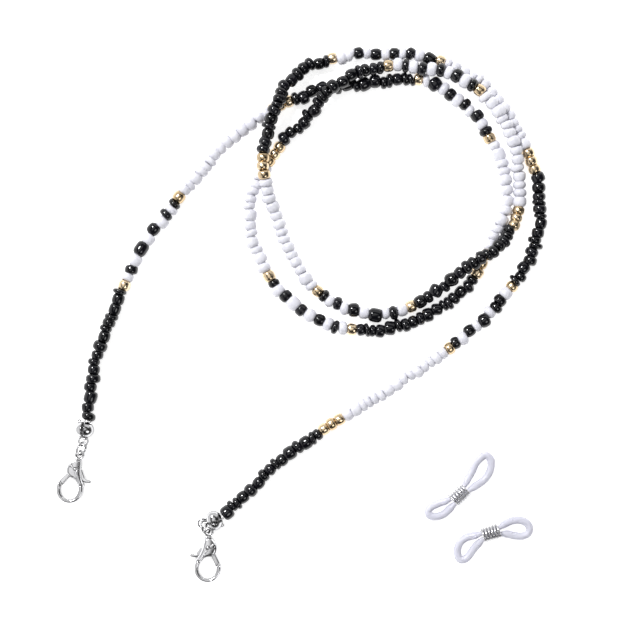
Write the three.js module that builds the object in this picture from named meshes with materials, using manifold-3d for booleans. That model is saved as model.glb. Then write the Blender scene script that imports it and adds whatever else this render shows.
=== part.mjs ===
// Eyeglass retainer strap: a beaded strand with a lobster clasp at each end, lying in two loose
// loops, and beside it two silicone temple connectors. Units are millimetres, +Z is up, and the
// surface that everything lies on is z = 0.
import * as THREE from "three";
import { mergeVertices } from "three/addons/utils/BufferGeometryUtils.js";
import Module from "manifold-3d";

const wasm = await Module();
wasm.setup();

// ---- driving dimensions ----

const BEAD_OD = 3.3;
const BEAD_HOLE = 1.3;
const THREAD_OD = 0.45;
const TOUCH_GAP = 0.3; // between pieces that rest against each other
const STRAND_STEP = 4.0; // length of one straight piece of the strand's tubes
const HEAD_LENGTH = 2.4; // from a bead tip's middle to the first bead

const TIP_BREADTH = 4.6; // clamshell bead tip: two cups side by side
const TIP_LENGTH = 4.1;
const TIP_HEIGHT = 4.0;
const TIP_WALL = 0.35;
const TIP_MOUTH = 1.5;
const TIP_SPLIT = 0.3; // gap between the two cups' rims
const TIP_LEVEL = 2.1; // height of a tip's middle
const LOOP_OD = 2.8;
const LOOP_WIRE = 0.45;
const LOOP_OFFSET = 2.95; // from the middle of the cups to the middle of the loop
const KNOT_OD = 1.7;

const RING_OD = 3.9; // jump ring
const RING_WIRE = 0.6;
const RING_LEAN = THREE.MathUtils.degToRad(60); // angle between the ring and the table

const CLASP_THICKNESS = 2.8;
const CLASP_CHAMFER = 0.35;
const HOOK_THICKNESS = 1.9;
const NECK_THICKNESS = 1.2;
const SLOT_HEIGHT = 1.5; // between the clasp's two cheeks
const LEVER_THICKNESS = 1.1;
const EYE_OD = 2.4;
const EYE_HOLE = 1.5;
const EYE_THICKNESS = 0.8;
const RIVET_R = 0.4;
const RIVET_HOLE_R = 0.5;
const LEVER_SPRING_WIRE = 0.25;
const CLASP_LEVEL = CLASP_THICKNESS / 2; // height of a clasp's middle plane

const SILICONE_OD = 1.95; // cord of a temple connector
const SILICONE_PINCHED_OD = 1.24; // where the coil squeezes it
const COIL_WIRE = 0.56;
const COIL_TURNS = 5.5;
const COIL_BORE = 3.0;
const COIL_LEVEL = COIL_BORE / 2 + COIL_WIRE; // height of a coil's axis

// ---- the strand's route, from the knot in bead tip A to the knot in bead tip B ----

const ROUTE = [
  [-54.2, -28.7, 2.1], [-53.5, -25.4, 1.8], [-52.8, -20.8, 1.65], [-51.6, -11.8, 1.65],
  [-48.6, -2.6, 1.65], [-44.8, 6.4, 1.65], [-40.3, 15.7, 1.65], [-34.1, 24.4, 1.65],
  [-26.8, 33.9, 1.65], [-20.1, 41.4, 1.65], [-13.1, 47.5, 1.65], [-6.6, 51.7, 1.65],
  [0.9, 54.7, 1.65], [5.7, 56.6, 1.65], [14.2, 57.3, 1.65], [22.9, 58.6, 1.65],
  [29.2, 58.7, 1.65], [35.7, 56.1, 1.65], [42.9, 50.4, 1.65], [47.9, 42.7, 1.65],
  [50.9, 34.2, 1.65], [50.9, 26.2, 1.65], [47.4, 18.4, 1.65], [45.2, 13.2, 1.65],
  [41.9, 7.2, 1.65], [35.5, 2.4, 1.65], [27.4, -1.8, 1.65], [19.7, -3.7, 1.65],
  [11.4, -3.6, 1.65], [2.4, -0.2, 1.65], [-5.1, 5.4, 1.65], [-10.1, 13.2, 1.65],
  [-12.9, 21.4, 1.65], [-12.3, 29.9, 1.65], [-7.3, 39.2, 1.65], [-3.1, 44.7, 1.8],
  [1.4, 48.9, 2.9], [7.9, 56.4, 5.1], [11.9, 58.9, 4.6], [16.9, 61.0, 3.5], [23.9, 62.0, 3.1],
  [31.7, 61.1, 3.6], [38.7, 59.2, 4.2], [44.7, 55.3, 4.3], [49.6, 49.3, 4.3], [53.0, 41.7, 3.6],
  [54.6, 33.7, 1.8], [54.4, 26.2, 1.8], [50.9, 18.9, 3.7], [45.6, 14.3, 5.3], [40.9, 11.4, 4.5],
  [35.6, 7.0, 2.8], [28.0, 2.2, 1.65], [19.9, 0.1, 1.65], [11.2, 1.4, 1.65], [3.4, 6.4, 1.65],
  [-2.6, 14.7, 1.65], [-5.8, 23.4, 2], [-8.0, 29.0, 3.4], [-9.3, 34.9, 5.4], [-9.3, 39.4, 4.8],
  [-8.3, 45.4, 4], [-6.3, 51.9, 5.4], [-4.3, 56.4, 4.1], [-0.3, 60.7, 2.4], [4.4, 63.1, 1.8],
  [9.2, 64.3, 1.65], [19.2, 65.3, 1.65], [28.4, 64.8, 1.65], [37.2, 62.3, 1.65],
  [45.0, 57.8, 1.65], [51.3, 50.3, 1.65], [56.3, 41.4, 1.65], [59.2, 32.4, 1.65],
  [59.7, 24.4, 1.65], [57.4, 14.9, 1.65], [51.4, 5.4, 1.65], [43.2, -3.3, 1.65],
  [32.9, -11.3, 1.65], [21.7, -18.8, 1.65], [9.2, -26.3, 1.65], [-2.3, -34.3, 1.65],
  [-11.8, -42.6, 1.65], [-18.5, -48.9, 1.8], [-21.7, -51.4, 2.1],
];

// Lengths of the bead runs, in order from end A: black, striped, white, gold. The beads differ in
// length, so the runs do too. The strand ends with an eighth black run.
const RUN_KINDS = ["black", "striped", "white", "gold"];
const RUN_LENGTHS = [
  [34.0, 28.5, 30.0, 6.5],
  [31.0, 26.0, 28.5, 7.5],
  [33.5, 28.0, 28.5, 6.5],
  [33.0, 26.5, 30.5, 6.0],
  [31.5, 27.5, 30.5, 6.5],
  [31.5, 29.5, 30.5, 6.5],
  [29.0, 24.0, 30.5, 7.0],
  [32.0],
];

// ---- the two ends ----
// A tip's heading turns its mouth from +Y to the strand; its roll turns it about its own length.
// A clasp's heading turns its eye from +Y to the jump ring.

const degrees = THREE.MathUtils.degToRad;
const ENDS = [
  {
    name: "a",
    tip: new THREE.Vector3(-54.2, -28.7, TIP_LEVEL),
    tipHeading: degrees(-4),
    tipRoll: degrees(-8),
    eye: new THREE.Vector3(-55.4, -35.05, CLASP_LEVEL),
    claspHeading: degrees(-12.5),
    claspTurnedOver: false,
  },
  {
    name: "b",
    tip: new THREE.Vector3(-21.7, -51.4, TIP_LEVEL),
    tipHeading: degrees(-76),
    tipRoll: degrees(12),
    eye: new THREE.Vector3(-23.1, -54.5, CLASP_LEVEL),
    claspHeading: degrees(-5.4),
    claspTurnedOver: true,
  },
];

// ---- the clasp's outlines, with the eye's middle at the origin and the hook towards -Y ----

const CHEEK_OUTLINE = [
  [-0.85, -1.3], [-1.6, -2.05], [-2.1, -2.95], [-2.3, -3.95], [-2.15, -4.85], [-1.6, -5.55],
  [-1.1, -5.85], [-0.3, -5.9], [0.6, -6.3], [1.3, -7.35], [2.85, -7.35], [2.4, -6.7],
  [1.75, -5.7], [1.35, -4.6], [1.1, -3.6], [1.0, -2.6], [0.75, -1.3],
];
const NECK_OUTLINE = [
  [-0.6, -0.85], [-0.8, -1.8], [0.8, -1.8], [0.6, -0.85],
];
const HOOK_CENTRE = new THREE.Vector2(-0.53, -8.95);
const HOOK_OUTER = new THREE.Vector2(3.35, 3.4); // half width and half height
const HOOK_INNER = new THREE.Vector2(2.35, 2.62);
const HOOK_OUTER_ANGLES = [degrees(30), degrees(-203)];
const HOOK_INNER_ANGLES = [degrees(38), degrees(-190)];
const SLOT_TOP = -2.45;
const SLOT_BOTTOM = -6.6;
const PIVOT = new THREE.Vector2(-0.15, -3.7);
const LEVER_OUTLINE = [
  [-3.42, -7.32], [-2.35, -5.6], [-1.35, -4.1], [-0.85, -3.25], [-0.3, -2.95], [0.3, -2.95],
  [0.9, -3.15], [1.6, -3.8], [2.05, -4.6], [2.5, -5.3], [3.1, -5.6], [4.1, -5.75],
  [4.3, -6.05], [4.05, -6.3], [3.2, -6.4], [2.4, -6.35], [1.5, -5.8], [0.8, -5.1],
  [0.3, -4.75], [-0.4, -4.7],
  [-0.95, -5.3], [-1.6, -6.4], [-2.58, -8.2],
];
const LEVER_SPRING_ROUTE = [
  [-1.1, -3.1], [-0.75, -2.75], [-0.1, -2.64], [0.4, -2.66], [0.66, -2.76],
];

// ---- the temple connectors' cords, closed loops pinched at the middle by a coil ----

const CONNECTORS = [
  {
    name: "1",
    coil: new THREE.Vector3(39.6, -45.0, COIL_LEVEL),
    coilHeading: degrees(42.7),
    loop: [
      [40.6, -42.9, 1.9], [41.8, -40.8, 1.3], [42.7, -39.3, 1.02], [43.5, -37.5, 1.02],
      [44.7, -36.0, 1.02], [46.1, -35.2, 1.02], [47.3, -36.0, 1.02], [47.5, -37.9, 1.02],
      [46.9, -39.8, 1.02], [45.7, -41.4, 1.02], [44.0, -42.6, 1.3], [41.7, -44.1, 1.9],
      [38.5, -47.1, 1.9], [37.0, -48.7, 1.3], [35.8, -49.8, 1.02], [34.1, -50.5, 1.02],
      [32.4, -50.4, 1.02], [31.7, -49.5, 1.02], [32.2, -48.4, 1.02], [33.7, -47.5, 1.02],
      [35.5, -46.8, 1.3], [37.4, -45.9, 1.9],
    ],
  },
  {
    name: "2",
    coil: new THREE.Vector3(47.4, -54.65, COIL_LEVEL),
    coilHeading: degrees(16.2),
    loop: [
      [49.2, -53.3, 1.9], [51.0, -52.3, 1.3], [52.8, -51.6, 1.02], [54.5, -51.4, 1.02],
      [56.2, -52.0, 1.02], [57.1, -53.3, 1.02], [56.8, -54.6, 1.02], [55.4, -55.4, 1.02],
      [53.4, -55.3, 1.02], [51.5, -54.9, 1.3], [49.6, -54.9, 1.9], [45.6, -56.0, 1.9],
      [44.4, -57.2, 1.3], [43.2, -58.5, 1.02], [42.1, -60.1, 1.02], [40.9, -61.2, 1.02],
      [39.7, -61.2, 1.02], [39.1, -59.8, 1.02], [39.2, -58.2, 1.02], [40.0, -56.7, 1.02],
      [41.5, -55.7, 1.02], [43.4, -55.2, 1.3], [45.3, -54.5, 1.9],
    ],
  },
];

// ---- materials ----

const plastic = (color, roughness) =>
  new THREE.MeshStandardMaterial({ color, roughness, metalness: 0 });
const metal = (color, roughness) =>
  new THREE.MeshStandardMaterial({ color, roughness, metalness: 1 });

const materials = {
  black: plastic(0x101014, 0.18),
  white: plastic(0xeeeef4, 0.35),
  striped: plastic(0x8a8a90, 0.3),
  gold: metal(0xd8b878, 0.3),
  thread: plastic(0xe4e4e8, 0.6),
  silver: metal(0xd6d6d8, 0.2),
  steel: metal(0xb4b4b8, 0.3),
  silicone: plastic(0xe2e2ee, 0.45),
};

// ---- solids: three.js geometry in, manifold-3d solid out, and back ----

function toSolid(geometry) {
  const bare = geometry.clone();
  bare.deleteAttribute("normal");
  bare.deleteAttribute("uv");
  const merged = mergeVertices(bare, 1e-4);
  return new wasm.Manifold(
    new wasm.Mesh({
      numProp: 3,
      vertProperties: merged.attributes.position.array,
      triVerts: new Uint32Array(merged.index.array),
    }),
  );
}

function toGeometry(solid) {
  const mesh = solid.getMesh();
  const geometry = new THREE.BufferGeometry();
  geometry.setAttribute("position", new THREE.BufferAttribute(mesh.vertProperties, 3));
  geometry.setIndex(new THREE.BufferAttribute(mesh.triVerts, 1));
  return geometry.toNonIndexed();
}

const union = (...geometries) =>
  toGeometry(geometries.map(toSolid).reduce((sum, solid) => sum.add(solid)));

const subtract = (geometry, ...cutters) =>
  toGeometry(cutters.map(toSolid).reduce((rest, cutter) => rest.subtract(cutter), toSolid(geometry)));

// ---- shape helpers ----

// A polygon's flats face along x and y when its first corner is half a step round.
function polygon(radius, sides) {
  const corners = [];
  for (let i = 0; i < sides; i++) {
    const angle = ((i + 0.5) * 2 * Math.PI) / sides;
    corners.push(new THREE.Vector2(radius * Math.cos(angle), radius * Math.sin(angle)));
  }
  return corners;
}

function sweep(section, path, steps) {
  return new THREE.ExtrudeGeometry(section, { extrudePath: path, steps });
}

// A flat outline given the thickness `height`, centred on z = 0.
function plate(outline, height) {
  const geometry = new THREE.ExtrudeGeometry(outline, {
    depth: height,
    bevelEnabled: false,
    curveSegments: 6,
  });
  return geometry.translate(0, 0, -height / 2);
}

// A plate whose upper and lower edges are chamfered by `bevel`.
function chamferedPlate(outline, height, bevel) {
  const geometry = new THREE.ExtrudeGeometry(outline, {
    depth: height - 2 * bevel,
    bevelThickness: bevel,
    bevelSize: bevel,
    bevelOffset: -bevel,
    bevelSegments: 1,
    curveSegments: 6,
  });
  return geometry.translate(0, 0, bevel - height / 2);
}

const outlineOf = (points) =>
  new THREE.Shape(points.map(([x, y]) => new THREE.Vector2(x, y)));

function disc(radius, height, sides) {
  return new THREE.CylinderGeometry(radius, radius, height, sides).rotateX(Math.PI / 2);
}

// A closed ring of round wire, its axis along z.
function wireRing(middleRadius, wire, turns, sides) {
  const profile = [];
  for (let i = 0; i <= sides; i++) {
    const angle = (2 * Math.PI * i) / sides;
    profile.push(
      new THREE.Vector2(
        middleRadius + (wire / 2) * Math.cos(angle),
        (wire / 2) * Math.sin(angle),
      ),
    );
  }
  profile[sides].copy(profile[0]);
  return new THREE.LatheGeometry(profile, turns).rotateX(Math.PI / 2);
}

const root = new THREE.Group();

function addMesh(parent, name, geometry, material) {
  const mesh = new THREE.Mesh(geometry, material);
  mesh.name = name;
  parent.add(mesh);
  return mesh;
}

// ---- the strand: bead runs on one thread ----

// The part of a long curve between two distances along it.
class Stretch extends THREE.Curve {
  constructor(whole, from, to) {
    super();
    this.whole = whole;
    this.from = from;
    this.to = to;
  }
  getPoint(t, target = new THREE.Vector3()) {
    const distance = this.from + (this.to - this.from) * t;
    return this.whole.getPointAt(distance / this.whole.getLength(), target);
  }
}

const route = new THREE.CatmullRomCurve3(
  ROUTE.map(([x, y, z]) => new THREE.Vector3(x, y, z)),
  false,
  "centripetal",
);
route.arcLengthDivisions = 4000;

function makeStrand() {
  const total = RUN_LENGTHS.flat().reduce((sum, length) => sum + length, 0);
  const fit = (route.getLength() - 2 * HEAD_LENGTH) / total;
  const beadSection = new THREE.Shape(polygon(BEAD_OD / 2, 8));
  beadSection.holes.push(new THREE.Path(polygon(BEAD_HOLE / 2, 6).reverse()));
  let start = HEAD_LENGTH;
  RUN_LENGTHS.forEach((lengths, repeat) =>
    lengths.forEach((length, kind) => {
      const end = start + length * fit;
      const stretch = new Stretch(route, start + TOUCH_GAP / 2, end - TOUCH_GAP / 2);
      const name = `${RUN_KINDS[kind]}_beads_${repeat + 1}`;
      const steps = Math.ceil(length / STRAND_STEP);
      addMesh(root, name, sweep(beadSection, stretch, steps), materials[RUN_KINDS[kind]]);
      start = end;
    }),
  );
  const thread = new Stretch(route, HEAD_LENGTH, route.getLength() - HEAD_LENGTH);
  const threadSteps = Math.round(total / STRAND_STEP);
  const threadSection = new THREE.Shape(polygon(THREAD_OD / 2, 6));
  addMesh(root, "thread", sweep(threadSection, thread, threadSteps), materials.thread);
}

// ---- bead tips and knots ----

// Half an ellipse from the -Y end to the mouth at the +Y end, as [distance from axis, y].
function cupProfile(halfBreadth, halfLength, mouthRadius, steps) {
  const last = Math.PI - Math.asin(mouthRadius / halfBreadth);
  const points = [];
  for (let i = 0; i <= steps; i++) {
    const angle = (last * i) / steps;
    points.push(
      new THREE.Vector2(halfBreadth * Math.sin(angle), -halfLength * Math.cos(angle)),
    );
  }
  return points;
}

function tipGeometry() {
  const outer = cupProfile(TIP_BREADTH / 2, TIP_LENGTH / 2, TIP_MOUTH / 2, 8);
  const inner = cupProfile(
    TIP_BREADTH / 2 - TIP_WALL,
    TIP_LENGTH / 2 - TIP_WALL,
    TIP_MOUTH / 2,
    8,
  );
  outer[0].x = 0;
  inner[0].x = 0;
  const shell = new THREE.LatheGeometry([...outer, ...inner.reverse()], 16);
  shell.scale(1, 1, TIP_HEIGHT / TIP_BREADTH);
  const split = new THREE.BoxGeometry(TIP_SPLIT, TIP_LENGTH, 2 * TIP_HEIGHT);
  split.translate(0, TIP_LENGTH / 2 - 1.2, 0);
  const loop = wireRing(LOOP_OD / 2 - LOOP_WIRE / 2, LOOP_WIRE, 16, 6);
  loop.translate(0, -LOOP_OFFSET, 0);
  return union(subtract(shell, split), loop);
}

// The knot fills the cups' middle, and its tail reaches out of the mouth.
function knotGeometry() {
  const ball = new THREE.IcosahedronGeometry(KNOT_OD / 2, 1);
  const tailLength = HEAD_LENGTH - TOUCH_GAP;
  const tail = new THREE.CylinderGeometry(THREAD_OD / 2, THREAD_OD / 2, tailLength, 8);
  tail.translate(0, tailLength / 2, 0);
  return union(ball, tail);
}

function makeTip(end) {
  const tip = new THREE.Group();
  tip.position.copy(end.tip);
  tip.rotation.order = "ZYX";
  tip.rotation.set(0, end.tipRoll, end.tipHeading);
  addMesh(tip, `bead_tip_${end.name}`, tipGeometry(), materials.silver);
  addMesh(tip, `knot_${end.name}`, knotGeometry(), materials.thread);
  root.add(tip);
  tip.updateMatrixWorld(true);
  return tip.localToWorld(new THREE.Vector3(0, -LOOP_OFFSET, 0));
}

// ---- jump rings ----
// A ring leans over with its lowest point on the table. Its wire passes through the clasp's eye on
// one side and through the bead tip's loop on the other.

function makeRing(end, loopCentre) {
  const middleRadius = (RING_OD - RING_WIRE) / 2;
  const rise = middleRadius * Math.sin(RING_LEAN);
  const level = rise + RING_WIRE / 2;
  const eyeSine = (level - end.eye.z) / rise;
  const loopSine = (loopCentre.z - level) / rise;
  const along = middleRadius * (Math.sqrt(1 - eyeSine ** 2) + Math.sqrt(1 - loopSine ** 2));
  const across = middleRadius * Math.cos(RING_LEAN) * (eyeSine + loopSine);
  const heading =
    Math.atan2(loopCentre.y - end.eye.y, loopCentre.x - end.eye.x) - Math.atan2(across, along);
  const strike = new THREE.Vector3(Math.cos(heading), Math.sin(heading), 0);
  const side = new THREE.Vector3(-strike.y, strike.x, 0);
  const slope = side.clone().multiplyScalar(Math.cos(RING_LEAN));
  slope.z = Math.sin(RING_LEAN);
  const normal = strike.clone().cross(slope);
  const centre = end.eye
    .clone()
    .addScaledVector(strike, middleRadius * Math.sqrt(1 - eyeSine ** 2))
    .addScaledVector(slope, middleRadius * eyeSine);
  const mesh = addMesh(
    root,
    `jump_ring_${end.name}`,
    wireRing(middleRadius, RING_WIRE, 18, 8),
    materials.silver,
  );
  mesh.quaternion.setFromRotationMatrix(new THREE.Matrix4().makeBasis(strike, slope, normal));
  mesh.position.copy(centre);
}

// ---- clasps ----

function ellipsePoints(centre, radii, [from, to], steps) {
  const points = [];
  for (let i = 0; i <= steps; i++) {
    const angle = from + ((to - from) * i) / steps;
    points.push([
      centre.x + radii.x * Math.cos(angle),
      centre.y + radii.y * Math.sin(angle),
    ]);
  }
  return points;
}

function claspBodyGeometry() {
  const slot = new THREE.BoxGeometry(12, SLOT_TOP - SLOT_BOTTOM, SLOT_HEIGHT);
  slot.translate(0, (SLOT_TOP + SLOT_BOTTOM) / 2, 0);
  const rivetHole = disc(RIVET_HOLE_R, 2 * CLASP_THICKNESS, 16);
  rivetHole.translate(PIVOT.x, PIVOT.y, 0);
  const cheeks = chamferedPlate(outlineOf(CHEEK_OUTLINE), CLASP_THICKNESS, CLASP_CHAMFER);
  const hookOutline = [
    ...ellipsePoints(HOOK_CENTRE, HOOK_OUTER, HOOK_OUTER_ANGLES, 16),
    ...ellipsePoints(HOOK_CENTRE, HOOK_INNER, HOOK_INNER_ANGLES, 14).reverse(),
  ];
  const hook = chamferedPlate(outlineOf(hookOutline), HOOK_THICKNESS, 0.28);
  const neck = plate(outlineOf(NECK_OUTLINE), NECK_THICKNESS);
  const eyeWall = (EYE_OD - EYE_HOLE) / 2;
  const eye = wireRing((EYE_OD + EYE_HOLE) / 4, eyeWall, 16, 8);
  eye.scale(1, 1, EYE_THICKNESS / eyeWall);
  return union(subtract(cheeks, slot, rivetHole), hook, neck, eye);
}

function leverGeometry() {
  const hole = disc(RIVET_HOLE_R, 2 * LEVER_THICKNESS, 16);
  hole.translate(PIVOT.x, PIVOT.y, 0);
  return subtract(chamferedPlate(outlineOf(LEVER_OUTLINE), LEVER_THICKNESS, 0.15), hole);
}

function makeClasp(end) {
  const clasp = new THREE.Group();
  clasp.position.copy(end.eye);
  clasp.rotation.order = "ZYX";
  clasp.rotation.set(0, end.claspTurnedOver ? Math.PI : 0, end.claspHeading);
  addMesh(clasp, `clasp_body_${end.name}`, claspBodyGeometry(), materials.silver);
  addMesh(clasp, `clasp_lever_${end.name}`, leverGeometry(), materials.silver);
  const rivet = disc(RIVET_R, CLASP_THICKNESS, 16);
  rivet.translate(PIVOT.x, PIVOT.y, 0);
  addMesh(clasp, `clasp_rivet_${end.name}`, rivet, materials.steel);
  const springPath = new THREE.CatmullRomCurve3(
    LEVER_SPRING_ROUTE.map(([x, y]) => new THREE.Vector3(x, y, 0)),
  );
  const springSection = new THREE.Shape(polygon(LEVER_SPRING_WIRE / 2, 6));
  addMesh(clasp, `clasp_spring_${end.name}`, sweep(springSection, springPath, 8), materials.steel);
  root.add(clasp);
}

// ---- temple connectors ----

class Helix extends THREE.Curve {
  constructor(radius, length, turns) {
    super();
    this.radius = radius;
    this.length = length;
    this.turns = turns;
  }
  getPoint(t, target = new THREE.Vector3()) {
    const angle = 2 * Math.PI * this.turns * t;
    return target.set(
      this.length * (t - 0.5),
      this.radius * Math.cos(angle),
      this.radius * Math.sin(angle),
    );
  }
}

// A closed cord whose radius shrinks near the coil's middle.
function siliconeGeometry(connector, coilLength) {
  const path = new THREE.CatmullRomCurve3(
    connector.loop.map(([x, y, z]) => new THREE.Vector3(x, y, z)),
    true,
    "centripetal",
  );
  const steps = 48;
  const sides = 8;
  const geometry = new THREE.TubeGeometry(path, steps, SILICONE_OD / 2, sides, true);
  const position = geometry.attributes.position;
  const vertex = new THREE.Vector3();
  for (let i = 0; i < position.count; i++) {
    const middle = path.getPointAt((Math.floor(i / (sides + 1)) % steps) / steps);
    const distance = middle.distanceTo(connector.coil);
    const free = THREE.MathUtils.smoothstep(distance, coilLength / 2 + 0.4, coilLength / 2 + 2.0);
    const width = THREE.MathUtils.lerp(SILICONE_PINCHED_OD, SILICONE_OD, free);
    vertex.fromBufferAttribute(position, i).sub(middle);
    vertex.multiplyScalar(width / SILICONE_OD).add(middle);
    position.setXYZ(i, vertex.x, vertex.y, vertex.z);
  }
  return geometry;
}

function makeConnector(connector) {
  const coilPitch = 0.78;
  const coilLength = coilPitch * COIL_TURNS;
  addMesh(
    root,
    `silicone_loop_${connector.name}`,
    siliconeGeometry(connector, coilLength),
    materials.silicone,
  );
  const helix = new Helix((COIL_BORE + COIL_WIRE) / 2, coilLength, COIL_TURNS);
  const section = new THREE.Shape(polygon(COIL_WIRE / 2, 6));
  const coil = addMesh(
    root,
    `coil_${connector.name}`,
    sweep(section, helix, 12 * COIL_TURNS),
    materials.steel,
  );
  coil.position.copy(connector.coil);
  coil.rotation.z = connector.coilHeading;
}

makeStrand();
for (const end of ENDS) {
  const loopCentre = makeTip(end);
  makeRing(end, loopCentre);
  makeClasp(end);
}
CONNECTORS.forEach(makeConnector);

export default root;
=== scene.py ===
"""Eyeglass retainer strap: every bead, the findings, and the silicone connectors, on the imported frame.

Lists of points are in millimetres, in the frame of the CAD. Objects are in metres.
"""

import math
import random

import bpy
import numpy
from mathutils import Matrix, Vector


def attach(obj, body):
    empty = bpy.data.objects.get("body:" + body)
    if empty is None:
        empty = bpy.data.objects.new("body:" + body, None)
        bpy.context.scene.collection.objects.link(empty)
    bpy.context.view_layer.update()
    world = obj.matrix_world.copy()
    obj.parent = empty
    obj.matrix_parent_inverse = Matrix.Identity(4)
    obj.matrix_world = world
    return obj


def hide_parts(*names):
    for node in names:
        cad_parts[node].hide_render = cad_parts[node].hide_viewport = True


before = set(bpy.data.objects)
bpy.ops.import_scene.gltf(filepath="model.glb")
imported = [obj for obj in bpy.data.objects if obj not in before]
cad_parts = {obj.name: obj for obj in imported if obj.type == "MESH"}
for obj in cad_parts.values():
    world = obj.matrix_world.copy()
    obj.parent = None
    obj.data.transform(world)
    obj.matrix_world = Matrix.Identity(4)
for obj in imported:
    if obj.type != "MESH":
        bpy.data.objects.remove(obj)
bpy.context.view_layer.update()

MM = 0.001
UP = Vector((0, 0, 1))

# ---- camera: straight down, one long lens ----

VIEW_CENTRE = Vector((4.69, -1.35, 1.5))
VIEW_WIDTH = 160.0
LENS = 100.0
SENSOR = 36.0

bpy.context.scene.view_settings.view_transform = "Standard"
camera_data = bpy.data.cameras.new("camera")
camera_data.lens = LENS
camera_data.sensor_width = SENSOR
camera_data.clip_start = 0.01
camera = bpy.data.objects.new("camera", camera_data)
camera.location = (VIEW_CENTRE + UP * VIEW_WIDTH * LENS / SENSOR) * MM
bpy.context.scene.collection.objects.link(camera)
bpy.context.scene.camera = camera

# ---- driving dimensions, in millimetres ----

THREAD_OD = 0.45
HEAD_LENGTH = 2.4  # from a bead tip's middle to the first bead
BEAD_R = 1.65
BEAD_HOLE_R = 0.5
BEAD_CLOSENESS = 1.06  # a bead's width over its share of the thread: rounded rims nest a little

ROUTE = [
    (-54.2, -28.7, 2.1), (-53.5, -25.4, 1.8), (-52.8, -20.8, 1.65), (-51.6, -11.8, 1.65),
    (-48.6, -2.6, 1.65), (-44.8, 6.4, 1.65), (-40.3, 15.7, 1.65), (-34.1, 24.4, 1.65),
    (-26.8, 33.9, 1.65), (-20.1, 41.4, 1.65), (-13.1, 47.5, 1.65), (-6.6, 51.7, 1.65),
    (0.9, 54.7, 1.65), (5.7, 56.6, 1.65), (14.2, 57.3, 1.65), (22.9, 58.6, 1.65),
    (29.2, 58.7, 1.65), (35.7, 56.1, 1.65), (42.9, 50.4, 1.65), (47.9, 42.7, 1.65),
    (50.9, 34.2, 1.65), (50.9, 26.2, 1.65), (47.4, 18.4, 1.65), (45.2, 13.2, 1.65),
    (41.9, 7.2, 1.65), (35.5, 2.4, 1.65), (27.4, -1.8, 1.65), (19.7, -3.7, 1.65),
    (11.4, -3.6, 1.65), (2.4, -0.2, 1.65), (-5.1, 5.4, 1.65), (-10.1, 13.2, 1.65),
    (-12.9, 21.4, 1.65), (-12.3, 29.9, 1.65), (-7.3, 39.2, 1.65), (-3.1, 44.7, 1.8),
    (1.4, 48.9, 2.9), (7.9, 56.4, 5.1), (11.9, 58.9, 4.6), (16.9, 61.0, 3.5), (23.9, 62.0, 3.1),
    (31.7, 61.1, 3.6), (38.7, 59.2, 4.2), (44.7, 55.3, 4.3), (49.6, 49.3, 4.3), (53.0, 41.7, 3.6),
    (54.6, 33.7, 1.8), (54.4, 26.2, 1.8), (50.9, 18.9, 3.7), (45.6, 14.3, 5.3), (40.9, 11.4, 4.5),
    (35.6, 7.0, 2.8), (28.0, 2.2, 1.65), (19.9, 0.1, 1.65), (11.2, 1.4, 1.65), (3.4, 6.4, 1.65),
    (-2.6, 14.7, 1.65), (-5.8, 23.4, 2), (-8.0, 29.0, 3.4), (-9.3, 34.9, 5.4), (-9.3, 39.4, 4.8),
    (-8.3, 45.4, 4), (-6.3, 51.9, 5.4), (-4.3, 56.4, 4.1), (-0.3, 60.7, 2.4), (4.4, 63.1, 1.8),
    (9.2, 64.3, 1.65), (19.2, 65.3, 1.65), (28.4, 64.8, 1.65), (37.2, 62.3, 1.65),
    (45.0, 57.8, 1.65), (51.3, 50.3, 1.65), (56.3, 41.4, 1.65), (59.2, 32.4, 1.65),
    (59.7, 24.4, 1.65), (57.4, 14.9, 1.65), (51.4, 5.4, 1.65), (43.2, -3.3, 1.65),
    (32.9, -11.3, 1.65), (21.7, -18.8, 1.65), (9.2, -26.3, 1.65), (-2.3, -34.3, 1.65),
    (-11.8, -42.6, 1.65), (-18.5, -48.9, 1.8), (-21.7, -51.4, 2.1),
]

# Bead runs in order from end A, as (kind, length, beads). A striped run lists its beads: one gold,
# white and black in turn, and one gold.
RUNS = [
    ("black", 34.0, 16), ("striped", 28.5, "GWBWBWBWBWBG"), ("white", 30.0, 14), ("gold", 6.5, 3),
    ("black", 31.0, 15), ("striped", 26.0, "GWBWBWBWBWBG"), ("white", 28.5, 12), ("gold", 7.5, 3),
    ("black", 33.5, 17), ("striped", 28.0, "GWBWBWBWBWBG"), ("white", 28.5, 13), ("gold", 6.5, 3),
    ("black", 33.0, 16), ("striped", 26.5, "GWBWBWBWBWBG"), ("white", 30.5, 14), ("gold", 6.0, 3),
    ("black", 31.5, 15), ("striped", 27.5, "GWBWBWBWBWBG"), ("white", 30.5, 14), ("gold", 6.5, 3),
    ("black", 31.5, 16), ("striped", 29.5, "GWWBWBWBWBWBG"), ("white", 30.5, 14), ("gold", 6.5, 3),
    ("black", 29.0, 15), ("striped", 24.0, "GWBBWBWBWBG"), ("white", 30.5, 15), ("gold", 7.0, 3),
    ("black", 32.0, 15),
]

# ---- curves ----


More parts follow.
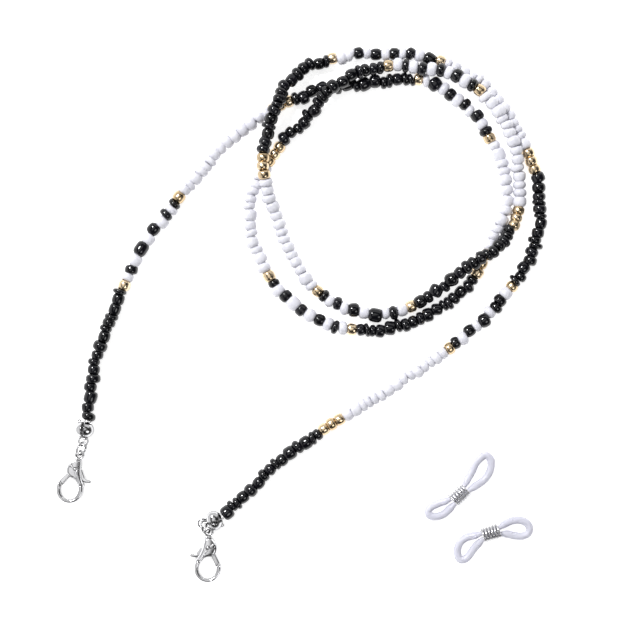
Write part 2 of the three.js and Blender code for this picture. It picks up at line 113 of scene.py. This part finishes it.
def catmull_rom(points, per_span, closed=False):
    """Points along a centripetal Catmull-Rom curve, with per_span of them from each point to the next."""
    p = [Vector(q) for q in points]
    if closed:
        p = [p[-1]] + p + [p[0], p[1]]
    else:
        p = [2 * p[0] - p[1]] + p + [2 * p[-1] - p[-2]]
    out = []
    for a, b, c, d in zip(p, p[1:], p[2:], p[3:]):
        t1 = max((b - a).length ** 0.5, 1e-4)
        t2 = t1 + max((c - b).length ** 0.5, 1e-4)
        t3 = t2 + max((d - c).length ** 0.5, 1e-4)
        for i in range(per_span):
            t = t1 + (t2 - t1) * i / per_span
            ab = a.lerp(b, t / t1)
            bc = b.lerp(c, (t - t1) / (t2 - t1))
            cd = c.lerp(d, (t - t2) / (t3 - t2))
            out.append(ab.lerp(bc, t / t2).lerp(bc.lerp(cd, (t - t1) / (t3 - t1)), (t - t1) / (t2 - t1)))
    if not closed:
        out.append(p[-2])
    return out


class Line:
    """A polyline that gives its point and direction at a distance along it."""

    def __init__(self, points):
        self.points = points
        self.at = [0.0]
        for a, b in zip(points, points[1:]):
            self.at.append(self.at[-1] + (b - a).length)
        self.length = self.at[-1]

    def point(self, distance):
        low, high = 0, len(self.at) - 1
        while high - low > 1:
            middle = (low + high) // 2
            if self.at[middle] <= distance:
                low = middle
            else:
                high = middle
        share = (distance - self.at[low]) / (self.at[high] - self.at[low])
        return self.points[low].lerp(self.points[high], share)

    def direction(self, distance, reach=0.6):
        return (self.point(distance + reach) - self.point(distance - reach)).normalized()


# ---- meshes ----


class Shape:
    """Vertices in millimetres and faces, gathered from several parts, with shades and materials."""

    def __init__(self):
        self.vertices = []
        self.faces = []
        self.materials = []
        self.shades = []

    def grid(self, rows, wrap_rows=False, wrap_columns=True, material=0, shade=0.5):
        """Quads between rows of points. Both ways round may wrap."""
        first = len(self.vertices)
        columns = len(rows[0])
        for row in rows:
            self.vertices.extend(row)
        self.shades.extend([shade] * (len(rows) * columns))
        for i in range(len(rows) if wrap_rows else len(rows) - 1):
            for j in range(columns if wrap_columns else columns - 1):
                a = first + i * columns
                b = first + (i + 1) % len(rows) * columns
                k = (j + 1) % columns
                self.faces.append((a + j, a + k, b + k, b + j))
                self.materials.append(material)
        return first

    def shell(self, outer, inner):
        """A closed plate between two grids of the same size."""
        rows, columns = len(outer), len(outer[0])
        first = self.grid(outer, wrap_columns=False)
        second = self.grid([row[::-1] for row in inner], wrap_columns=False)
        edge = (
            [(i, 0) for i in range(rows)]
            + [(rows - 1, j) for j in range(1, columns)]
            + [(i, columns - 1) for i in range(rows - 2, -1, -1)]
            + [(0, j) for j in range(columns - 2, 0, -1)]
        )
        for (i, j), (k, l) in zip(edge, edge[1:] + edge[:1]):
            self.faces.append(
                (
                    first + i * columns + j,
                    first + k * columns + l,
                    second + k * columns + columns - 1 - l,
                    second + i * columns + columns - 1 - j,
                )
            )
            self.materials.append(0)

    def cap(self, first, columns, facing_back, material=0):
        ring = list(range(first, first + columns))
        self.faces.append(ring[::-1] if facing_back else ring)
        self.materials.append(material)

    def make(self, name, materials, matrix=None):
        mesh = bpy.data.meshes.new(name)
        matrix = matrix or Matrix.Identity(4)
        mesh.from_pydata([(matrix @ Vector(v)) * MM for v in self.vertices], [], self.faces)
        for material in materials:
            mesh.materials.append(material)
        mesh.polygons.foreach_set("material_index", self.materials)
        mesh.polygons.foreach_set("use_smooth", [True] * len(self.faces))
        shade = mesh.attributes.new("shade", "FLOAT", "POINT")
        shade.data.foreach_set("value", self.shades)
        mesh.update()
        piece = bpy.data.objects.new(name, mesh)
        bpy.context.scene.collection.objects.link(piece)
        return piece


def frames_along(points, closed=False):
    """A side and an upper direction at each point, turning as little as they can."""
    count = len(points)
    sides = []
    for i, point in enumerate(points):
        before = points[i - 1] if i or closed else point
        after = points[(i + 1) % count] if i + 1 < count or closed else point
        forward = (after - before).normalized()
        if sides:
            side = sides[-1][0]
            side = (side - forward * side.dot(forward)).normalized()
        else:
            side = forward.cross(UP)
            side = side.normalized() if side.length > 0.1 else Vector((1, 0, 0))
        sides.append((side, forward.cross(side)))
    return sides


def tube(shape, points, radii, sides=16, closed=False, material=0, shade=0.5):
    """A round tube through the points. radii is one radius, or one for each point."""
    if not isinstance(radii, list):
        radii = [radii] * len(points)
    rows = []
    for point, radius, (side, upper) in zip(points, radii, frames_along(points, closed)):
        rows.append(
            [
                point + radius * (math.cos(a) * side + math.sin(a) * upper)
                for a in (math.tau * j / sides for j in range(sides))
            ]
        )
    first = shape.grid(rows, wrap_rows=closed, material=material, shade=shade)
    if not closed:
        shape.cap(first, sides, True, material)
        shape.cap(first + (len(rows) - 1) * sides, sides, False, material)


def torus(shape, centre, axis, ring_r, wire_r, start=0.0, sweep=math.tau, steps=48, sides=16):
    """A ring of round wire, whole or with a cut."""
    axis = Vector(axis).normalized()
    side = axis.cross(UP) if axis.cross(UP).length > 0.1 else Vector((1, 0, 0))
    side.normalize()
    other = axis.cross(side)
    whole = sweep >= math.tau - 1e-6
    count = steps if whole else steps + 1
    angles = [start + sweep * i / steps for i in range(count)]
    points = [Vector(centre) + ring_r * (math.cos(a) * side + math.sin(a) * other) for a in angles]
    tube(shape, points, wire_r, sides, closed=whole)


def bead_outline(width, radius, hole, power, steps):
    """(along, radius) round half a bead's section: over the crown, then back through the hole."""
    half = width / 2
    points = []
    for i in range(steps + 1):
        angle = math.pi * (0.02 + 0.96 * i / steps)
        c, s = math.cos(angle), math.sin(angle)
        rise = (radius - hole) * abs(s) ** (2 / power)
        points.append((half * math.copysign(abs(c) ** (2 / power), c), hole + rise))
    return points + [(-half * 0.8, hole * 0.97), (0, hole * 0.92), (half * 0.8, hole * 0.97)]


# ---- materials ----


def principled(name, **values):
    material = bpy.data.materials.new(name)
    material.use_nodes = True
    shader = material.node_tree.nodes["Principled BSDF"]
    for socket, value in values.items():
        shader.inputs[socket].default_value = value
    return material, material.node_tree, shader


def node(tree, kind, **values):
    made = tree.nodes.new(kind)
    for key, value in values.items():
        if key in made.inputs:
            made.inputs[key].default_value = value
        else:
            setattr(made, key, value)
    return made


def object_noise(tree, scale, detail=3.0, roughness=0.5):
    """Noise in the object's own coordinates, with scale in cycles per metre."""
    where = node(tree, "ShaderNodeTexCoord")
    noise = node(tree, "ShaderNodeTexNoise", Scale=scale, Detail=detail, Roughness=roughness)
    tree.links.new(where.outputs["Object"], noise.inputs["Vector"])
    return noise.outputs["Fac"]


def ramp(tree, factor, stops):
    """A colour ramp, with stops as (place, colour or value)."""
    made = tree.nodes.new("ShaderNodeValToRGB")
    elements = made.color_ramp.elements
    while len(elements) < len(stops):
        elements.new(0.5)
    for element, (place, colour) in zip(elements, stops):
        element.position = place
        element.color = (*colour, 1) if isinstance(colour, tuple) else (colour, colour, colour, 1)
    tree.links.new(factor, made.inputs["Fac"])
    return made.outputs["Color"]


def shade_of(tree):
    """The shade that each bead was given, from 0 to 1."""
    return node(tree, "ShaderNodeAttribute", attribute_name="shade").outputs["Fac"]


def bump(tree, shader, height, strength, distance):
    made = node(tree, "ShaderNodeBump", Strength=strength, Distance=distance)
    tree.links.new(height, made.inputs["Height"])
    tree.links.new(made.outputs["Normal"], shader.inputs["Normal"])


def multiply(tree, first, second):
    """One colour times another."""
    made = node(tree, "ShaderNodeMix", data_type="RGBA", blend_type="MULTIPLY")
    made.inputs["Factor"].default_value = 1.0
    tree.links.new(first, made.inputs["A"])
    tree.links.new(second, made.inputs["B"])
    return made.outputs["Result"]


def with_painted_side_shade(tree, colour, stops):
    """The colour with painted shade: darkened on the faces that turn sideways or down to the table, full on
    the faces that turn up.
    """
    split = node(tree, "ShaderNodeSeparateXYZ")
    tree.links.new(node(tree, "ShaderNodeNewGeometry").outputs["Normal"], split.inputs["Vector"])
    return multiply(tree, colour, ramp(tree, split.outputs["Z"], stops))


EVEN = (1.0, 1.0, 1.0)  # light of every colour spreads alike


def bead_material(name, darkest, lightest, rough, sides, **values):
    """Pressed glass or plated metal: each bead its own shade, fine unevenness, patches of duller gloss, and
    painted shade on the sides.
    """
    material, tree, shader = principled(name, **values)
    colour = ramp(tree, shade_of(tree), [(0.0, darkest), (1.0, lightest)])
    # Painted shade: the colour darkens to `sides` times itself on faces turned sideways or down.
    tree.links.new(with_painted_side_shade(tree, colour, [(0.0, sides), (0.6, 1.0)]), shader.inputs["Base Color"])
    patches = ramp(tree, object_noise(tree, 900.0), [(0.3, rough[0]), (0.7, rough[1])])
    tree.links.new(patches, shader.inputs["Roughness"])
    bump(tree, shader, object_noise(tree, 1600.0, 4.0), 0.15, 0.00008)
    return material


# The number after the roughness pair is the painted side shade: the colour's share on faces turned sideways
# or down.
black_glass = bead_material(
    "black_glass", (0.002, 0.002, 0.003), (0.006, 0.006, 0.009), (0.03, 0.09), 0.5,
    **{"IOR": 1.5},
)
white_glass = bead_material(
    "white_glass", (0.69, 0.69, 0.755), (0.76, 0.76, 0.82), (0.2, 0.36), 0.82,
    **{"IOR": 1.45},
    **{"Subsurface Weight": 0.15, "Subsurface Scale": 0.0004, "Subsurface Radius": EVEN},
)
gold_plate = bead_material(
    "gold_plate", (0.55, 0.41, 0.24), (0.82, 0.66, 0.45), (0.14, 0.3), 0.65, Metallic=1.0,
)


def metal(name, dark, light, rough, scale, sides):
    """Polished metal with faint clouding, painted shade in its hollows, as ambient occlusion would give, and
    painted shade on its sides.
    """
    material, tree, shader = principled(name, Metallic=1.0)
    colour = ramp(tree, object_noise(tree, scale), [(0.3, dark), (0.75, light)])
    # Painted shade: hollows, found by pointiness, darken to a quarter of the colour, and faces turned
    # sideways or down darken as the sides stops say.
    hollows = node(tree, "ShaderNodeNewGeometry").outputs["Pointiness"]
    painted_hollow_shade = ramp(tree, hollows, [(0.42, 0.25), (0.5, 1.0)])
    colour = with_painted_side_shade(tree, multiply(tree, colour, painted_hollow_shade), sides)
    tree.links.new(colour, shader.inputs["Base Color"])
    patches = ramp(tree, object_noise(tree, scale * 1.7), [(0.3, rough[0]), (0.7, rough[1])])
    tree.links.new(patches, shader.inputs["Roughness"])
    bump(tree, shader, object_noise(tree, scale * 2.5, 4.0), 0.25, 0.00006)
    return material


# The last list gives the painted side shade: the colour's share by how far the normal turns up.
silver = metal("silver_plate", (0.66, 0.66, 0.68), (0.86, 0.86, 0.87), (0.1, 0.22), 420.0,
               [(0.0, 0.32), (0.35, 0.5), (0.6, 1.0)])
steel = metal("steel_wire", (0.56, 0.56, 0.58), (0.78, 0.78, 0.79), (0.14, 0.26), 700.0,
              [(0.0, 0.42), (0.25, 0.6), (0.45, 1.0)])


def silicone_material():
    soft = {"Subsurface Weight": 0.3, "Subsurface Scale": 0.0006, "Subsurface Radius": EVEN}
    material, tree, shader = principled("silicone", **{"IOR": 1.41, "Transmission Weight": 0.25}, **soft)
    colour = ramp(tree, object_noise(tree, 160.0), [(0.3, (0.70, 0.70, 0.79)), (0.7, (0.76, 0.76, 0.85))])
    # Painted shade: the colour darkens to 0.82 on faces turned sideways or down.
    tree.links.new(with_painted_side_shade(tree, colour, [(0.0, 0.82), (0.7, 1.0)]), shader.inputs["Base Color"])
    patches = ramp(tree, object_noise(tree, 500.0), [(0.3, 0.25), (0.7, 0.42)])
    tree.links.new(patches, shader.inputs["Roughness"])
    bump(tree, shader, object_noise(tree, 900.0), 0.3, 0.0001)
    return material


def nylon_material():
    soft = {"Subsurface Weight": 0.2, "Subsurface Scale": 0.0004, "Subsurface Radius": EVEN}
    material, tree, shader = principled("nylon", **{"IOR": 1.53, "Transmission Weight": 0.5}, **soft)
    colour = ramp(tree, object_noise(tree, 800.0), [(0.3, (0.80, 0.80, 0.82)), (0.7, (0.92, 0.92, 0.94))])
    tree.links.new(colour, shader.inputs["Base Color"])
    patches = ramp(tree, object_noise(tree, 1500.0), [(0.3, 0.25), (0.7, 0.45)])
    tree.links.new(patches, shader.inputs["Roughness"])
    return material


silicone = silicone_material()
nylon = nylon_material()

# ---- the thread: the one cord, from knot to knot ----

route = Line(catmull_rom(ROUTE, 24))


def stretch(line, start, end, step):
    count = max(2, round((end - start) / step))
    return [line.point(start + (end - start) * i / count) for i in range(count + 1)]


thread_points = stretch(route, HEAD_LENGTH, route.length - HEAD_LENGTH, 0.8)
thread_shape = Shape()
tube(thread_shape, thread_points, THREAD_OD / 2, sides=10)
thread = thread_shape.make("nylon_thread", [nylon])
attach(thread, "strand")
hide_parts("thread")

# ---- beads ----

luck = random.Random(11)
BEAD_MATERIALS = {"B": 0, "W": 1, "G": 2}
ROUNDNESS = {"B": (2.3, 3.2), "W": (2.2, 2.8), "G": (2.4, 3.0)}  # power of the crown's curve
BEAD_RADII = {"B": (1.52, 1.84), "W": (1.58, 1.84), "G": (1.48, 1.66)}
UNEVEN_WIDTH = {"B": 0.42, "W": 0.28, "G": 0.06}
SIDEWAYS = {"B": 0.42, "W": 0.3, "G": 0.14}
TILT = {"B": 0.2, "W": 0.17, "G": 0.06}
ALL_BEADS = [black_glass, white_glass, gold_plate]


def add_bead(shape, centre, direction, width, radius, kind):
    """A rounded ring on the thread, a little oval, resting on the table or above it."""
    hole = BEAD_HOLE_R * luck.uniform(0.85, 1.15)
    outline = bead_outline(width, radius, hole, luck.uniform(*ROUNDNESS[kind]), 14)
    side = direction.cross(UP).normalized()
    upper = side.cross(direction)
    oval = luck.uniform(0.97, 1.03)
    rows = []
    for j in range(22):
        angle = math.tau * j / 22
        out = math.cos(angle) * side * oval + math.sin(angle) * upper / oval
        rows.append([centre + direction * along + out * r for along, r in outline])
    sunk = min(0, min(point.z for row in rows for point in row))
    rows = [[point - UP * sunk for point in row] for row in rows]
    shape.grid(rows, wrap_rows=True, material=BEAD_MATERIALS[kind], shade=luck.random())


def bead_run(line, start, end, kinds):
    """Beads of uneven width side by side from start to end."""
    shape = Shape()
    widths = [1 + luck.uniform(-UNEVEN_WIDTH[kind], UNEVEN_WIDTH[kind]) for kind in kinds]
    unit = (end - start) / sum(widths)
    at = start
    for kind, share in zip(kinds, widths):
        width = share * unit
        middle = at + width / 2
        at += width
        radius = luck.uniform(*BEAD_RADII[kind])
        direction = line.direction(middle)
        side = direction.cross(UP).normalized()
        centre = line.point(middle) + side * luck.uniform(-SIDEWAYS[kind], SIDEWAYS[kind])
        centre.z += radius - BEAD_R
        tilt = Matrix.Rotation(luck.gauss(0, TILT[kind]), 3, UP)
        dip = Matrix.Rotation(luck.gauss(0, TILT[kind] / 2), 3, side)
        add_bead(shape, centre, tilt @ dip @ direction, width * BEAD_CLOSENESS, radius, kind)
    return shape


RUN_LETTERS = {"black": "B", "white": "W", "gold": "G"}
total = sum(length for _, length, _ in RUNS)
fit = (route.length - 2 * HEAD_LENGTH) / total
start = HEAD_LENGTH
for index, (kind, length, beads) in enumerate(RUNS):
    kinds = beads if kind == "striped" else RUN_LETTERS[kind] * beads
    end = start + length * fit
    node_name = f"{kind}_beads_{index // 4 + 1}"
    piece = bead_run(route, start, end, kinds).make(node_name + "_seen", ALL_BEADS)
    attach(piece, "strand")
    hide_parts(node_name)
    start = end

# ---- where the two ends lie, as in the CAD ----

CLASP_LEVEL = 1.4
TIP_LEVEL = 2.1
TIP_HALF = Vector((2.3, 2.05, 2.0))  # the closed cups' half breadth, half length and half height
TIP_WALL = 0.35
TIP_MOUTH_R = 0.75
LOOP_OFFSET = 2.95
LOOP_R = 1.175
LOOP_WIRE_R = 0.245
RING_WIRE_R = 0.315
PIVOT = (-0.15, -3.7)
RIVET_R = 0.42
RIVET_LENGTH = 2.7


def placed(place, heading, roll):
    """A matrix for a group: rolled about its own Y, then turned to its heading."""
    turn = Matrix.Rotation(math.radians(heading), 4, "Z")
    return Matrix.Translation(place) @ turn @ Matrix.Rotation(math.radians(roll), 4, "Y")


ENDS = {
    "a": {
        "tip": placed((-54.2, -28.7, TIP_LEVEL), -4, -8),
        "clasp": placed((-55.4, -35.05, CLASP_LEVEL), -12.5, 0),
        "ring_cut": 2.2,
    },
    "b": {
        "tip": placed((-21.7, -51.4, TIP_LEVEL), -76, 12),
        "clasp": placed((-23.1, -54.5, CLASP_LEVEL), -5.4, 180),
        "ring_cut": 4.0,
    },
}


def hand_over(piece, body, replaced):
    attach(piece, body)
    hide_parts(replaced)


# ---- bead tips: two cups on a fold, a loop, and two small ears at the mouth ----


def cup(shape, side):
    """Half of the clamshell: a thin cup with a rolled rim, standing a little open at the mouth."""
    last = math.pi - math.asin(TIP_MOUTH_R / TIP_HALF.x)
    open_at_mouth = Matrix.Rotation(-side * 0.05, 3, "Z")
    hinge = Vector((0, -TIP_HALF.y, 0))
    outer, inner = [], []
    for i in range(21):
        angle = 0.1 + (last - 0.1) * i / 20
        rows = []
        for wall in (0.0, TIP_WALL):
            size = TIP_HALF - Vector((wall, wall, wall))
            row = []
            for j in range(25):
                turn = math.pi * (j / 24 - 0.5)
                rim = 1 + 0.05 * abs(j / 12 - 1) ** 8
                point = Vector(
                    (
                        size.x * math.sin(angle) * math.cos(turn) + 0.14,
                        -size.y * math.cos(angle),
                        size.z * math.sin(angle) * math.sin(turn) * rim,
                    )
                )
                point.x *= side
                row.append(hinge + open_at_mouth @ (point - hinge))
            rows.append(row)
        outer.append(rows[0] if side > 0 else rows[0][::-1])
        inner.append(rows[1] if side > 0 else rows[1][::-1])
    shape.shell(outer, inner)


def bead_tip(end):
    shape = Shape()
    cup(shape, 1)
    cup(shape, -1)
    torus(shape, (0, -LOOP_OFFSET, 0), UP, LOOP_R, LOOP_WIRE_R, start=1.9, sweep=5.9)
    fold = [(0, -1.78, 0), (0.05, -2.1, 0.05), (0.3, -2.4, 0.1), (0.75, -2.25, 0.1)]
    tube(shape, catmull_rom(fold, 6), 0.26, 12)
    torus(shape, (-1.25, 2.0, 0.3), (0.5, 0.2, 1), 0.34, 0.15, steps=24, sides=10)
    torus(shape, (1.6, 1.65, 0.3), (-0.5, 0.2, 1), 0.34, 0.15, steps=24, sides=10)
    return shape.make(f"bead_tip_{end}_seen", [silver], ENDS[end]["tip"])


def knot(end):
    """An overhand knot, pulled small, and the thread that leaves it for the first bead."""
    shape = Shape()
    turns = []
    for i in range(60):
        t = math.tau * i / 60
        across = math.sin(t) + 2 * math.sin(2 * t)
        upward = math.cos(t) - 2 * math.cos(2 * t)
        turns.append(Vector((across, -math.sin(3 * t), upward)) * 0.21)
    tube(shape, turns, THREAD_OD / 2, 10, closed=True)
    tube(shape, [Vector((0, 0.3 + 0.3 * i, 0)) for i in range(8)], THREAD_OD / 2, 10)
    return shape.make(f"knot_{end}_seen", [nylon], ENDS[end]["tip"])


# ---- jump rings: round wire with the maker's cut ----


def jump_ring(end):
    """Fitted to its CAD ring: the middle, the flattest direction and the radius."""
    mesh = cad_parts[f"jump_ring_{end}"].data
    points = numpy.array([v.co for v in mesh.vertices]) / MM
    middle = points.mean(axis=0)
    axis = Vector(numpy.linalg.svd(points - middle)[2][2])
    ring_r = max((Vector(p - middle)).length for p in points) - RING_WIRE_R
    shape = Shape()
    cut = ENDS[end]["ring_cut"]
    torus(shape, middle, axis, ring_r, RING_WIRE_R, start=cut, sweep=math.tau - 0.07, steps=60)
    return shape.make(f"jump_ring_{end}_seen", [silver])


# ---- clasps: castings, so every edge of the CAD solid is rounded off ----

SWELL = 0.11
RIDGE = 0.3  # how far the face steps down beside a clasp's ridge


def smoothstep(x, low, high):
    t = min(1, max(0, (x - low) / (high - low)))
    return t * t * (3 - 2 * t)


def crowned(point, crown):
    """Domes the broad faces of a clasp's body, and steps them down on one side of a slanting ridge."""
    x, y, z = point
    if crown and -7.6 < y < -1.0:
        middle = numpy.interp(-y, (1.0, 2.4, 4.0, 5.0, 5.8, 7.0), (0.0, -0.4, -0.5, -0.3, 0.35, 1.9))
        half = numpy.interp(-y, (1.0, 2.4, 4.0, 5.0, 5.8, 7.0), (0.85, 1.5, 1.9, 1.85, 1.6, 0.9))
        away = min(1.0, abs(x - middle) / half)
        z *= 1 - crown * away * away
        ridge = numpy.interp(-y, (2.6, 4.26, 6.6, 7.6), (-1.4, 0.19, 1.4, 1.9))
        z *= 1 - RIDGE * smoothstep(ridge - x, 0, 0.4) * smoothstep(-y, 2.4, 3.4)
    return Vector((x, y, z))


def cast(name, node_name, place, voxel, passes, crown=0.0):
    """A copy of a CAD node with an even skin, crowned, then smoothed and swollen back to size."""
    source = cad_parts[node_name]
    mesh = source.data.copy()
    mesh.materials.clear()
    mesh.materials.append(silver)
    piece = bpy.data.objects.new(name, mesh)
    bpy.context.scene.collection.objects.link(piece)
    remesh = piece.modifiers.new("skin", "REMESH")
    remesh.mode = "VOXEL"
    remesh.voxel_size = voxel * MM
    apply_modifiers(piece)
    inverse = place.inverted()
    for vertex in piece.data.vertices:
        vertex.co = (place @ crowned(inverse @ (vertex.co / MM), crown)) * MM
    smooth = piece.modifiers.new("tumble", "SMOOTH")
    smooth.factor = 0.5
    smooth.iterations = passes
    swell = piece.modifiers.new("swell", "DISPLACE")
    swell.strength = SWELL * MM
    swell.mid_level = 0
    apply_modifiers(piece)
    piece.data.polygons.foreach_set("use_smooth", [True] * len(piece.data.polygons))
    piece.data.update()
    return piece


def apply_modifiers(piece):
    bpy.context.view_layer.update()
    done = bpy.data.meshes.new_from_object(piece.evaluated_get(bpy.context.evaluated_depsgraph_get()))
    piece.modifiers.clear()
    piece.data = done


def rivet(end):
    shape = Shape()
    outline = [(0.6, -0.99), (0.9, -0.965), (1, -0.93), (1, 0.93), (0.9, 0.965), (0.6, 0.99)]
    rows = []
    for radius, height in outline:
        rows.append(
            [
                Vector(
                    (
                        PIVOT[0] + radius * RIVET_R * math.cos(a),
                        PIVOT[1] + radius * RIVET_R * math.sin(a),
                        height * RIVET_LENGTH / 2,
                    )
                )
                for a in (math.tau * j / 24 for j in range(24))
            ]
        )
    first = shape.grid(rows)
    shape.cap(first, 24, True)
    shape.cap(first + (len(rows) - 1) * 24, 24, False)
    return shape.make(f"clasp_rivet_{end}_seen", [steel], ENDS[end]["clasp"])


SPRING_ROUTE = [(-1.1, -3.1), (-0.75, -2.75), (-0.1, -2.64), (0.4, -2.66), (0.66, -2.76)]


def spring(end):
    shape = Shape()
    tube(shape, catmull_rom([(x, y, 0) for x, y in SPRING_ROUTE], 8), 0.125, 12)
    return shape.make(f"clasp_spring_{end}_seen", [steel], ENDS[end]["clasp"])


for end in "ab":
    hand_over(bead_tip(end), "strand", f"bead_tip_{end}")
    hand_over(knot(end), "strand", f"knot_{end}")
    hand_over(jump_ring(end), f"ring_{end}", f"jump_ring_{end}")
    place = ENDS[end]["clasp"]
    body = cast(f"clasp_body_{end}_seen", f"clasp_body_{end}", place, 0.07, 12, crown=0.16)
    hand_over(body, f"clasp_{end}", f"clasp_body_{end}")
    lever = cast(f"clasp_lever_{end}_seen", f"clasp_lever_{end}", place, 0.06, 8)
    hand_over(lever, f"lever_{end}", f"clasp_lever_{end}")
    hand_over(rivet(end), f"clasp_{end}", f"clasp_rivet_{end}")
    hand_over(spring(end), f"clasp_{end}", f"clasp_spring_{end}")

# ---- temple connectors: a loop of silicone cord pinched by a wire coil ----

SILICONE_R = 0.975
PINCHED_R = 0.62
COIL_BORE_R = 1.5
COIL_WIRE_R = 0.28
COIL_TURNS = 5.5
COIL_PITCH = 0.78
COIL_LEVEL = COIL_BORE_R + 2 * COIL_WIRE_R
CONNECTORS = {
    "1": (
        (39.6, -45.0),
        42.7,
        [
            (40.6, -42.9, 1.9), (41.8, -40.8, 1.3), (42.7, -39.3, 1.02), (43.5, -37.5, 1.02),
            (44.7, -36.0, 1.02), (46.1, -35.2, 1.02), (47.3, -36.0, 1.02), (47.5, -37.9, 1.02),
            (46.9, -39.8, 1.02), (45.7, -41.4, 1.02), (44.0, -42.6, 1.3), (41.7, -44.1, 1.9),
            (38.5, -47.1, 1.9), (37.0, -48.7, 1.3), (35.8, -49.8, 1.02), (34.1, -50.5, 1.02),
            (32.4, -50.4, 1.02), (31.7, -49.5, 1.02), (32.2, -48.4, 1.02), (33.7, -47.5, 1.02),
            (35.5, -46.8, 1.3), (37.4, -45.9, 1.9),
        ],
    ),
    "2": (
        (47.4, -54.65),
        16.2,
        [
            (49.2, -53.3, 1.9), (51.0, -52.3, 1.3), (52.8, -51.6, 1.02), (54.5, -51.4, 1.02),
            (56.2, -52.0, 1.02), (57.1, -53.3, 1.02), (56.8, -54.6, 1.02), (55.4, -55.4, 1.02),
            (53.4, -55.3, 1.02), (51.5, -54.9, 1.3), (49.6, -54.9, 1.9), (45.6, -56.0, 1.9),
            (44.4, -57.2, 1.3), (43.2, -58.5, 1.02), (42.1, -60.1, 1.02), (40.9, -61.2, 1.02),
            (39.7, -61.2, 1.02), (39.1, -59.8, 1.02), (39.2, -58.2, 1.02), (40.0, -56.7, 1.02),
            (41.5, -55.7, 1.02), (43.4, -55.2, 1.3), (45.3, -54.5, 1.9),
        ],
    ),
}


def silicone_loop(name, coil, loop):
    """The cord keeps its width in the loops and is squeezed inside the coil."""
    shape = Shape()
    points = catmull_rom(loop, 10, closed=True)
    half = COIL_TURNS * COIL_PITCH / 2
    radii = []
    for point in points:
        free = smoothstep((point - coil).length, half + 0.4, half + 2.0)
        radii.append(PINCHED_R + (SILICONE_R - PINCHED_R) * free)
    tube(shape, points, radii, 24, closed=True)
    return shape.make(f"silicone_loop_{name}_seen", [silicone])


def coil_spring(name, coil, heading):
    """Close turns of round wire; each end is cut square."""
    shape = Shape()
    steps = round(COIL_TURNS * 32)
    points = []
    for i in range(steps + 1):
        angle = math.tau * COIL_TURNS * i / steps
        along = COIL_TURNS * COIL_PITCH * (i / steps - 0.5)
        reach = COIL_BORE_R + COIL_WIRE_R
        points.append(Vector((along, reach * math.cos(angle), reach * math.sin(angle))))
    tube(shape, points, COIL_WIRE_R, 14)
    place = Matrix.Translation(coil) @ Matrix.Rotation(math.radians(heading), 4, "Z")
    return shape.make(f"coil_{name}_seen", [steel], place)


for name, (place, heading, loop) in CONNECTORS.items():
    coil = Vector((*place, COIL_LEVEL))
    hand_over(silicone_loop(name, coil, loop), f"connector_{name}", f"silicone_loop_{name}")
    hand_over(coil_spring(name, coil, heading), f"connector_coil_{name}", f"coil_{name}")

# ---- floor, light and world ----


def stage_floor():
    mesh = bpy.data.meshes.new("floor")
    size = 1.5
    corners = [(-size, -size, 0), (size, -size, 0), (size, size, 0), (-size, size, 0)]
    mesh.from_pydata(corners, [], [(0, 1, 2, 3)])
    glow = {"Emission Color": (1, 1, 1, 1), "Emission Strength": 0.75}  # a lit table, as for a catalogue
    material, tree, shader = principled("paper", Roughness=0.9, **glow)
    colour = ramp(tree, object_noise(tree, 40.0), [(0.3, (0.90, 0.90, 0.90)), (0.7, (0.93, 0.93, 0.93))])
    tree.links.new(colour, shader.inputs["Base Color"])
    mesh.materials.append(material)
    floor = bpy.data.objects.new("floor", mesh)
    floor.location.z = -0.0001
    bpy.context.scene.collection.objects.link(floor)


def area_light(name, place, power, size):
    data = bpy.data.lights.new(name, "AREA")
    data.energy = power
    data.shape = "DISK"
    data.size = size
    light = bpy.data.objects.new(name, data)
    light.location = place
    light.rotation_euler = (-Vector(place)).to_track_quat("-Z", "Y").to_euler()
    bpy.context.scene.collection.objects.link(light)


stage_floor()
area_light("key", (-0.4, 0.45, 0.8), 9.0, 0.2)
area_light("fill", (0.5, -0.5, 0.9), 2.0, 0.5)


def studio_world():
    """A lit panel overhead, a dark gap round it, lit walls, and the far wall to the lower right unlit."""
    world = bpy.data.worlds.new("studio")
    bpy.context.scene.world = world
    world.use_nodes = True
    tree = world.node_tree
    direction = node(tree, "ShaderNodeTexCoord").outputs["Generated"]
    split = node(tree, "ShaderNodeSeparateXYZ")
    tree.links.new(direction, split.inputs["Vector"])
    height = split.outputs["Z"]
    walls = ramp(tree, height, [(0.0, 0.9), (0.3, 0.9), (0.6, 1.1), (0.68, 0.05), (0.88, 0.05), (0.93, 1.0)])
    across = node(tree, "ShaderNodeVectorMath", operation="DOT_PRODUCT")
    tree.links.new(direction, across.inputs[0])
    across.inputs[1].default_value = (-0.35, 0.35, 0.0)
    shifted = node(tree, "ShaderNodeMath", operation="ADD")
    shifted.inputs[1].default_value = 0.5
    tree.links.new(across.outputs["Value"], shifted.inputs[0])
    side = ramp(tree, shifted.outputs["Value"], [(0.4, 0.06), (0.5, 1.0)])
    low = ramp(tree, height, [(0.12, 1.0), (0.2, 0.0)])
    lit = node(tree, "ShaderNodeMath", operation="MAXIMUM")
    tree.links.new(side, lit.inputs[0])
    tree.links.new(low, lit.inputs[1])
    tree.links.new(multiply(tree, walls, lit.outputs["Value"]), tree.nodes["Background"].inputs["Color"])


studio_world()
